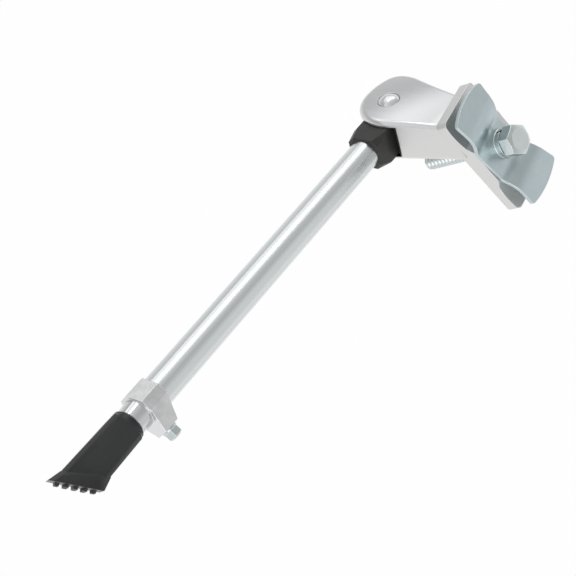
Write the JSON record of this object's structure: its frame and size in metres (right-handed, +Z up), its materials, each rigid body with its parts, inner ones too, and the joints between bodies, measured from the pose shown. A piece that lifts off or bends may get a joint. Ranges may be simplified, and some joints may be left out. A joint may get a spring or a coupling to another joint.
{
  "type": "bicycle kickstand",
  "caption": "Centre-mount bicycle kickstand: cast body clamped across the chain stays, folded telescopic leg on a sprung pivot, rubber foot with a knobbed slanting sole.",
  "frame": {"origin": "on the clamp bolt's axis, level with the stay seats of the cast plate", "axes": "+X forward along the bicycle, +Y to its left, +Z up along the clamp bolt; the folded leg points back along -X"},
  "size_m": [0.3439, 0.1476, 0.0922],
  "materials": {
    "cast_aluminium": "matt cast, polished outer cheek",
    "zinc_steel": "bright zinc plate",
    "satin_aluminium": "drawn, satin anodised",
    "polished_steel": "polished",
    "spring_steel": "oiled",
    "black_nylon": "moulded",
    "black_rubber": "moulded"
  },
  "bodies": {
    "mount": {"body_casting": "cast_aluminium", "pivot_rivet": "polished_steel"},
    "jaw": {"top_clamp_plate": "zinc_steel", "flat_washer": "zinc_steel", "lock_washer": "zinc_steel"},
    "bolt": {"clamp_bolt": "zinc_steel"},
    "swing": {"eye_rod": "zinc_steel", "rod_nut": "zinc_steel", "rod_washer": "zinc_steel", "detent_spring": "spring_steel"},
    "leg": {"detent_sleeve": "black_nylon", "spring_seat": "zinc_steel", "outer_tube": "satin_aluminium", "collar": "cast_aluminium"},
    "screw": {"collar_screw": "zinc_steel"},
    "foot_leg": {"inner_tube": "satin_aluminium", "foot": "black_rubber"}
  },
  "joints": [
    {"name": "leg_swing", "type": "hinge", "parent": "mount", "child": "swing", "pos_m": [-0.0052, 0.0397, -0.049], "axis": [-0.1706, -0.8903, -0.4223], "range_deg": [0, 102]},
    {"name": "leg_snap", "type": "slide", "parent": "swing", "child": "leg", "axis": [-0.9846, 0.1701, 0.0393], "range_m": [0, 0.003], "stiffness_N_per_m": 5000, "springref_m": -0.008, "deforming": ["detent_spring"]},
    {"name": "foot_slide", "type": "slide", "parent": "leg", "child": "foot_leg", "axis": [-0.9846, 0.1701, 0.0393], "range_m": [0, 0.045]},
    {"name": "collar_screw_turn", "type": "hinge", "parent": "leg", "child": "screw", "pos_m": [-0.25402, 0.08268, -0.03908], "axis": [-0.1467, -0.9283, 0.3418], "range_deg": [0, 360]},
    {"name": "bolt_turn", "type": "hinge", "parent": "jaw", "child": "bolt", "pos_m": [0, 0, 0], "axis": [0, 0, 1], "range_deg": [0, 3600]},
    {"name": "jaw_lift", "type": "slide", "parent": "mount", "child": "jaw", "axis": [0, 0, 1], "range_m": [0, 0.015]}
  ],
  "couplings": [
    {"joint": "bolt_turn", "follows": "jaw_lift", "rad_per_m": 4188.8}
  ]
}
